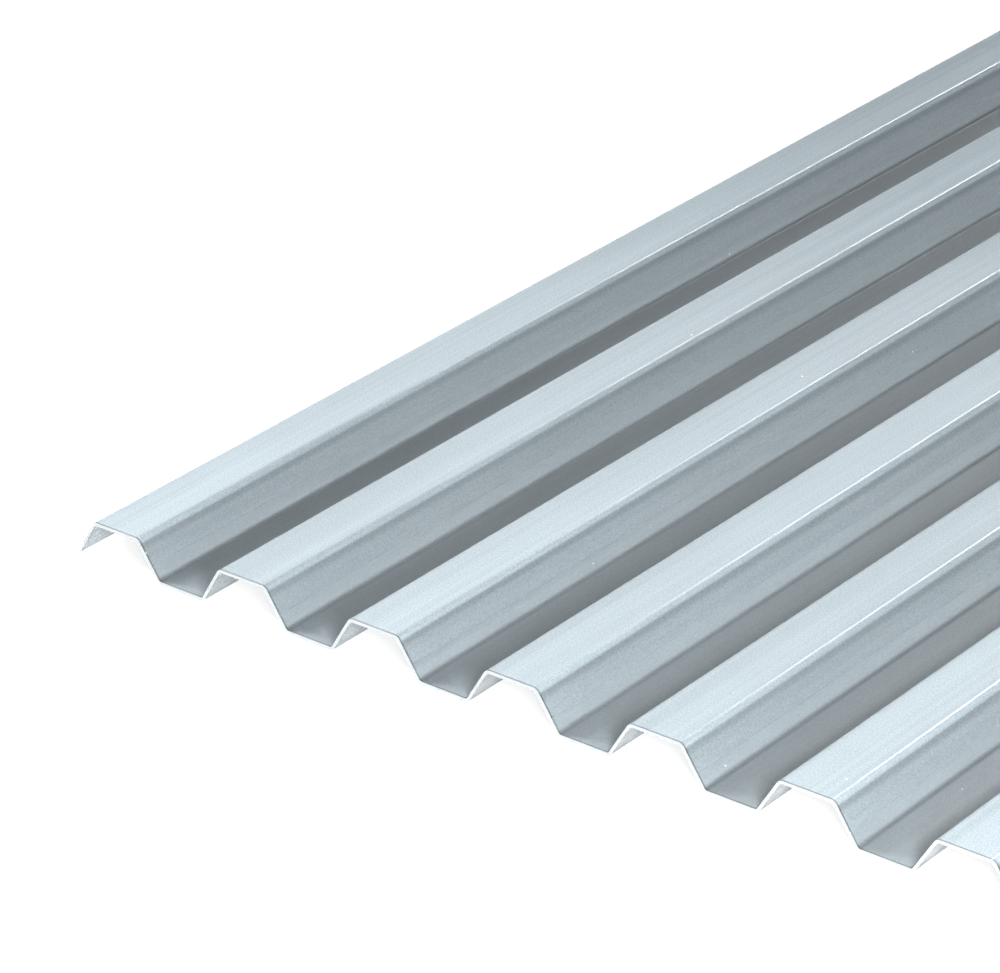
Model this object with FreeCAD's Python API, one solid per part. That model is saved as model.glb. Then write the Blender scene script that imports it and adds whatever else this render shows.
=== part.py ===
"""Corrugated PVC roofing sheet with a 76/18 trapezoidal profile, extruded as one piece.

Millimetres. The waves run along Y and repeat along X, and +Z is up. The origin is the centre of the
sheet's footprint, on the plane that the undersides of its valleys rest on. The section is one centreline
of straight flats joined by round bends, offset by half the wall to each side and closed at its two ends.
"""

import FreeCAD, Part
import math
import os

# The profile, taken between the sharp corners of the wall's centreline.
PITCH = 76.0  # from one crest to the next
PROFILE_HEIGHT = 18.0  # from a valley to a crest, on the same face of the wall
CREST_WIDTH = 26.5
FLANK_RUN = 11.5  # how far a flank moves sideways between a crest and a valley
BEND_RADIUS = 2.6

# The sheet.
WALL = 1.4
LENGTH = 2000.0
WAVES = 13  # pitches from the first crest to the last, which is also what one sheet covers
EDGE_RISE = 1.2  # how far above the valleys the two outermost flanks are trimmed

NODE = "corrugated_sheet"


def centreline_corners():
    """The sharp corners of the wall's centreline, from the sheet's left edge to its right."""
    low = WALL / 2
    high = low + PROFILE_HEIGHT
    half_crest = CREST_WIDTH / 2
    trimmed_run = FLANK_RUN * (PROFILE_HEIGHT - EDGE_RISE) / PROFILE_HEIGHT
    last_crest = PITCH * WAVES / 2
    corners = [(-last_crest - half_crest - trimmed_run, low + EDGE_RISE)]
    for wave in range(WAVES + 1):
        crest = PITCH * wave - last_crest
        corners += [(crest - half_crest, high), (crest + half_crest, high)]
        if wave < WAVES:
            valley_left = crest + half_crest + FLANK_RUN
            valley_right = crest + PITCH - half_crest - FLANK_RUN
            corners += [(valley_left, low), (valley_right, low)]
    corners.append((last_crest + half_crest + trimmed_run, low + EDGE_RISE))
    return [FreeCAD.Vector(x, -LENGTH / 2, z) for x, z in corners]


def up_from(run):
    """The unit vector square to a run of the section, on the side of the sheet's upper face."""
    return FreeCAD.Vector(-run.z, 0, run.x)


def bend(corner, before, after, offset):
    """Start, middle and end of the bend between two runs, on the face that lies offset above the centreline."""
    rises = math.copysign(1, before.x * after.z - before.z * after.x)
    setback = BEND_RADIUS * math.tan(before.getAngle(after) / 2)
    start = corner - before * setback
    end = corner + after * setback
    centre = start + up_from(before) * (rises * BEND_RADIUS)
    middle = centre + (corner - centre).normalize() * (BEND_RADIUS - rises * offset)
    return start + up_from(before) * offset, middle, end + up_from(after) * offset


def face_edges(corners, offset):
    """The lines and arcs of one face of the section, from left to right."""
    runs = [(end - start).normalize() for start, end in zip(corners, corners[1:])]
    edges = []
    point = corners[0] + up_from(runs[0]) * offset
    for corner, before, after in zip(corners[1:], runs, runs[1:]):
        bend_start, bend_middle, bend_end = bend(corner, before, after, offset)
        edges.append(Part.LineSegment(point, bend_start))
        edges.append(Part.Arc(bend_start, bend_middle, bend_end))
        point = bend_end
    edges.append(Part.LineSegment(point, corners[-1] + up_from(runs[-1]) * offset))
    return edges


def section():
    """The closed section: the upper face, the lower face and the two trimmed edges between them."""
    corners = centreline_corners()
    upper = face_edges(corners, WALL / 2)
    lower = face_edges(corners, -WALL / 2)
    left_edge = Part.LineSegment(lower[0].StartPoint, upper[0].StartPoint)
    right_edge = Part.LineSegment(upper[-1].EndPoint, lower[-1].EndPoint)
    outline = [left_edge, *upper, right_edge, *reversed(lower)]
    return Part.Face(Part.Wire([curve.toShape() for curve in outline]))


def corrugated_sheet():
    """The whole sheet, cut square at both ends."""
    return section().extrude(FreeCAD.Vector(0, LENGTH, 0))


os.makedirs("parts", exist_ok=True)
corrugated_sheet().exportStep(f"parts/{NODE}.step")
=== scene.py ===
"""Clear bluish corrugated PVC sheet on a pale floor, seen from above one corner of its cut end.

Metres, in the frame of the CAD model: the waves run along Y and repeat along X, +Z is up, and the origin is
the centre of the sheet's footprint at floor level.
"""

import math

import bpy
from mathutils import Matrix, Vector


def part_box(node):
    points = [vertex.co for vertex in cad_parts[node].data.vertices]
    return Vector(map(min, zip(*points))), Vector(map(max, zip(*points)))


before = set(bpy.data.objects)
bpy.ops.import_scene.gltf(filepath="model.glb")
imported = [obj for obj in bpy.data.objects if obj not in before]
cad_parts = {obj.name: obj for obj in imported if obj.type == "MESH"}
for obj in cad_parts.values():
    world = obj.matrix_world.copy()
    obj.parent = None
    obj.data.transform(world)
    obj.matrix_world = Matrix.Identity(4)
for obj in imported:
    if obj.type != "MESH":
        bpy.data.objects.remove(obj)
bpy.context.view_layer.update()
SHEET_LOW, SHEET_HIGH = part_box("corrugated_sheet")

# Sheet profile, as the CAD model has it.
PITCH = 0.076
HALF_PITCH = PITCH / 2
LENGTH = SHEET_HIGH[1] - SHEET_LOW[1]
# Foot of the cut end under the first crest's left bend.
FRONT_LEFT = Vector((-0.5075, SHEET_LOW[1], SHEET_LOW[2]))

# Colours of the finish.
PVC_TINT = (0.42, 0.485, 0.52, 1.0)
DUST = (0.9, 0.92, 0.94, 1.0)
GRIT = (0.05, 0.05, 0.055, 1.0)
SAWN_WHITE = (0.38, 0.41, 0.43, 1.0)
CUT_TINT = (0.5, 0.5, 0.5, 1.0)
# How far the sawn face and the darker line beside it reach in from each end.
SAWN_EDGE = 0.0002
CUT_SHADE = 0.0011
# Painted shade: brightness of the tint across a wave, from the middle of a crest (0) to that of a valley (1).
# Flanks and valleys are painted darker than crests, and the lowest stops are painted dark lines at the top
# and foot of each flank.
PAINTED_SHADE_ACROSS_WAVE = (
    (0.0, 1.0),
    (0.35, 1.0),
    (0.385, 0.97),
    (0.40, 0.55),
    (0.42, 0.56),
    (0.45, 0.72),
    (0.63, 0.74),
    (0.655, 0.38),
    (0.68, 0.38),
    (0.705, 0.62),
    (1.0, 0.66),
)
# Roughness over the same span: glossy crests and duller valleys.
SCUFFING = ((0.0, 0.12), (0.5, 0.12), (0.62, 0.45), (1.0, 0.45))
# Layers of unevenness: cells a metre along X, Y and Z, detail, and the ramp from noise to brightness.
FLOW_LINES = ((420.0, 2.5, 420.0), 3.0, ((0.3, 0.9), (0.7, 1.0)))
CLOUDS = ((22.0, 4.0, 22.0), 2.0, ((0.3, 0.9), (0.7, 1.0)))
GRAIN = ((1600.0, 1100.0, 1600.0), 1.0, ((0.25, 0.74), (0.75, 1.07)))
# Specks: cells a metre, radius in cell widths, and the share of cells that hold one.
DUST_SPECKS = (46.0, 0.026, 0.6)
GRIT_SPECKS = (16.0, 0.014, 0.3)
# How the light passes through and bends.
PVC_IOR = 1.54
SEE_THROUGH = 0.5
MILKINESS = 0.2
MILKY_DEPTH = 0.004
LINE_BUMP = 0.25
LINE_DEPTH = 0.00012

# Camera.
CAMERA_FOCAL = 166.0
CAMERA_SENSOR = 36.0
CAMERA_FROM_FRONT_LEFT = Vector((1.3317, -1.2600, 0.9652))
CAMERA_FORWARD = Vector((-0.58241, 0.67237, -0.45685))
CAMERA_ROLL = math.radians(-2.56)
CAMERA_REACH = 50.0

# Backdrop.
FLOOR_SIZE = 14.0
FLOOR_DROP = 0.0005
WHITE = (1.0, 1.0, 1.0, 1.0)
PAPER = (0.82, 0.82, 0.82, 1.0)
FLOOR_GLOW = 0.85
ROOM_LIGHT = 0.03


def new_material(name):
    """An empty node material, with its node tree and output."""
    material = bpy.data.materials.new(name)
    material.use_nodes = True
    tree = material.node_tree
    tree.nodes.clear()
    output = tree.nodes.new("ShaderNodeOutputMaterial")
    return material, tree, output


def math_node(tree, operation, *values):
    """One math node; each value is a number or the socket that feeds it. Returns its output."""
    node = tree.nodes.new("ShaderNodeMath")
    node.operation = operation
    for socket, value in zip(node.inputs, values):
        if isinstance(value, bpy.types.NodeSocket):
            tree.links.new(value, socket)
        else:
            socket.default_value = value
    return node.outputs[0]


def ramp(tree, value, stops):
    """A grey ramp through (position, brightness) stops. Returns its colour output."""
    node = tree.nodes.new("ShaderNodeValToRGB")
    points = node.color_ramp.elements
    while len(points) < len(stops):
        points.new(0.5)
    for point, (position, grey) in zip(points, stops):
        point.position = position
        point.color = (grey, grey, grey, 1.0)
    tree.links.new(value, node.inputs["Fac"])
    return node.outputs["Color"]


def blend(tree, kind, amount, first, second):
    """One colour mix; amount, first and second are sockets or plain values. Returns its result."""
    node = tree.nodes.new("ShaderNodeMix")
    node.data_type = "RGBA"
    node.blend_type = kind
    for socket, value in ((node.inputs[0], amount), (node.inputs[6], first), (node.inputs[7], second)):
        if isinstance(value, bpy.types.NodeSocket):
            tree.links.new(value, socket)
        else:
            socket.default_value = value
    return node.outputs[2]


def uneven(tree, place, stretch, detail, stops):
    """A grey layer of noise, with its own number of cells a metre along X, Y and Z."""
    mapping = tree.nodes.new("ShaderNodeMapping")
    mapping.inputs["Scale"].default_value = stretch
    tree.links.new(place, mapping.inputs["Vector"])
    node = tree.nodes.new("ShaderNodeTexNoise")
    node.inputs["Scale"].default_value = 1.0
    node.inputs["Detail"].default_value = detail
    tree.links.new(mapping.outputs["Vector"], node.inputs["Vector"])
    return ramp(tree, node.outputs["Fac"], stops)


def specks(tree, place, cells, radius, share):
    """A mask of round specks: one in some of the cells, radius in cell widths."""
    cell = tree.nodes.new("ShaderNodeTexVoronoi")
    cell.inputs["Scale"].default_value = cells
    tree.links.new(place, cell.inputs["Vector"])
    near = math_node(tree, "LESS_THAN", cell.outputs["Distance"], radius)
    split = tree.nodes.new("ShaderNodeSeparateColor")
    tree.links.new(cell.outputs["Color"], split.inputs["Color"])
    chosen = math_node(tree, "LESS_THAN", split.outputs["Red"], share)
    return math_node(tree, "MULTIPLY", near, chosen)


def crest_to_valley(tree, x):
    """Distance from the middle of the nearest crest, as a share of half a pitch."""
    from_crest = math_node(tree, "PINGPONG", math_node(tree, "ADD", x, HALF_PITCH), HALF_PITCH)
    return math_node(tree, "DIVIDE", from_crest, HALF_PITCH)


def tint_with_painted_shade_and_dust(tree, place, across, lines):
    """The blue-grey tint with painted shade across each wave, faint lines along the extrusion, clouds, grain,
    dust and grit.
    """
    colour = blend(tree, "MULTIPLY", 1.0, PVC_TINT, ramp(tree, across, PAINTED_SHADE_ACROSS_WAVE))
    for layer in (lines, uneven(tree, place, *CLOUDS), uneven(tree, place, *GRAIN)):
        colour = blend(tree, "MULTIPLY", 1.0, colour, layer)
    colour = blend(tree, "MIX", specks(tree, place, *DUST_SPECKS), colour, DUST)
    return blend(tree, "MIX", specks(tree, place, *GRIT_SPECKS), colour, GRIT)


def sawn_ends(tree, y, colour):
    """The same colour with a darker line beside each cut and a paler sawn face."""
    from_end = math_node(tree, "SUBTRACT", LENGTH / 2, math_node(tree, "ABSOLUTE", y))
    sawn = math_node(tree, "LESS_THAN", from_end, SAWN_EDGE)
    beside_cut = math_node(tree, "LESS_THAN", from_end, CUT_SHADE)
    colour = blend(tree, "MULTIPLY", beside_cut, colour, CUT_TINT)
    return blend(tree, "MIX", sawn, colour, SAWN_WHITE)


def clear_pvc():
    """Clear PVC with a blue-grey cast: glossy, partly see-through, with faint lines along the extrusion and
    painted shade on its flanks and valleys.
    """
    material, tree, output = new_material("clear_pvc")
    place = tree.nodes.new("ShaderNodeTexCoord").outputs["Object"]
    split = tree.nodes.new("ShaderNodeSeparateXYZ")
    tree.links.new(place, split.inputs["Vector"])
    across = crest_to_valley(tree, split.outputs["X"])
    lines = uneven(tree, place, *FLOW_LINES)
    colour = sawn_ends(tree, split.outputs["Y"], tint_with_painted_shade_and_dust(tree, place, across, lines))

    bump = tree.nodes.new("ShaderNodeBump")
    bump.inputs["Strength"].default_value = LINE_BUMP
    bump.inputs["Distance"].default_value = LINE_DEPTH
    tree.links.new(lines, bump.inputs["Height"])

    shader = tree.nodes.new("ShaderNodeBsdfPrincipled")
    shader.inputs["IOR"].default_value = PVC_IOR
    shader.inputs["Transmission Weight"].default_value = SEE_THROUGH
    shader.inputs["Subsurface Weight"].default_value = MILKINESS
    shader.inputs["Subsurface Radius"].default_value = (1.0, 1.0, 1.0)
    shader.inputs["Subsurface Scale"].default_value = MILKY_DEPTH
    tree.links.new(colour, shader.inputs["Base Color"])
    tree.links.new(ramp(tree, across, SCUFFING), shader.inputs["Roughness"])
    tree.links.new(bump.outputs["Normal"], shader.inputs["Normal"])
    tree.links.new(shader.outputs["BSDF"], output.inputs["Surface"])
    return material


def dress_sheet():
    """The CAD sheet keeps its shape and gets its finish."""
    material = clear_pvc()
    for slot in bpy.data.objects["corrugated_sheet"].material_slots:
        slot.material = material


def studio_white():
    """White paper that looks bright to the eye, in gloss and through the sheet, and still takes a shadow."""
    material, tree, output = new_material("studio_white")
    paper = tree.nodes.new("ShaderNodeBsdfDiffuse")
    paper.inputs["Color"].default_value = PAPER
    glow = tree.nodes.new("ShaderNodeEmission")
    glow.inputs["Color"].default_value = WHITE
    glow.inputs["Strength"].default_value = 1.0
    path = tree.nodes.new("ShaderNodeLightPath")
    looked_at = math_node(tree, "MAXIMUM", path.outputs["Is Camera Ray"], path.outputs["Is Transmission Ray"])
    seen = math_node(tree, "MAXIMUM", looked_at, path.outputs["Is Glossy Ray"])
    mix = tree.nodes.new("ShaderNodeMixShader")
    tree.links.new(math_node(tree, "MULTIPLY", seen, FLOOR_GLOW), mix.inputs["Fac"])
    tree.links.new(paper.outputs["BSDF"], mix.inputs[1])
    tree.links.new(glow.outputs["Emission"], mix.inputs[2])
    tree.links.new(mix.outputs["Shader"], output.inputs["Surface"])
    return material


def backdrop():
    """The floor, just under the sheet."""
    bpy.ops.mesh.primitive_plane_add(size=FLOOR_SIZE, location=(0, 0, -FLOOR_DROP))
    floor = bpy.context.object
    floor.name = "studio_floor"
    floor.data.materials.append(studio_white())


def surround():
    """A dim, even room light."""
    world = bpy.data.worlds.new("studio")
    bpy.context.scene.world = world
    world.use_nodes = True
    background = world.node_tree.nodes["Background"]
    background.inputs["Color"].default_value = WHITE
    background.inputs["Strength"].default_value = ROOM_LIGHT


def softbox(name, place, aim, size, power):
    """One rectangular studio lamp, turned to face a point."""
    data = bpy.data.lights.new(name, "AREA")
    data.shape = "RECTANGLE"
    data.size, data.size_y = size
    data.energy = power
    lamp = bpy.data.objects.new(name, data)
    bpy.context.collection.objects.link(lamp)
    lamp.visible_camera = False
    lamp.location = place
    lamp.rotation_euler = (Vector(aim) - Vector(place)).to_track_quat("-Z", "Y").to_euler()


def lamps():
    """A low key from the left, cards for crests and flanks, a strip for the bends and a near front fill."""
    softbox("key", (-1.95, -1.35, 0.72), (-0.35, -0.95, 0.0), (0.45, 1.2), 158.0)
    softbox("crest_card", (-2.5, 2.2, 2.3), (-0.2, -0.5, 0.0), (2.8, 1.3), 9.0)
    softbox("flank_card", (2.2, 1.9, 1.2), (-0.1, -0.8, 0.0), (1.6, 1.0), 0.2)
    softbox("bend_strip", (-1.35, 1.97, 2.14), (-0.2, -0.7, 0.0), (0.26, 1.3), 22.0)
    softbox("front_fill", (0.65, -1.7, 0.62), (-0.1, -0.98, 0.0), (0.35, 0.25), 66.0)


def camera():
    """A long lens looking down along the cut end, turned slightly about its own axis."""
    data = bpy.data.cameras.new("camera")
    data.lens = CAMERA_FOCAL
    data.sensor_width = CAMERA_SENSOR
    data.clip_end = CAMERA_REACH
    viewer = bpy.data.objects.new("camera", data)
    bpy.context.collection.objects.link(viewer)
    viewer.location = FRONT_LEFT + CAMERA_FROM_FRONT_LEFT
    viewer.rotation_euler = CAMERA_FORWARD.to_track_quat("-Z", "Y").to_euler()
    viewer.rotation_euler.rotate_axis("Z", CAMERA_ROLL)
    bpy.context.scene.camera = viewer


bpy.context.scene.view_settings.view_transform = "Standard"
camera()
dress_sheet()
backdrop()
surround()
lamps()
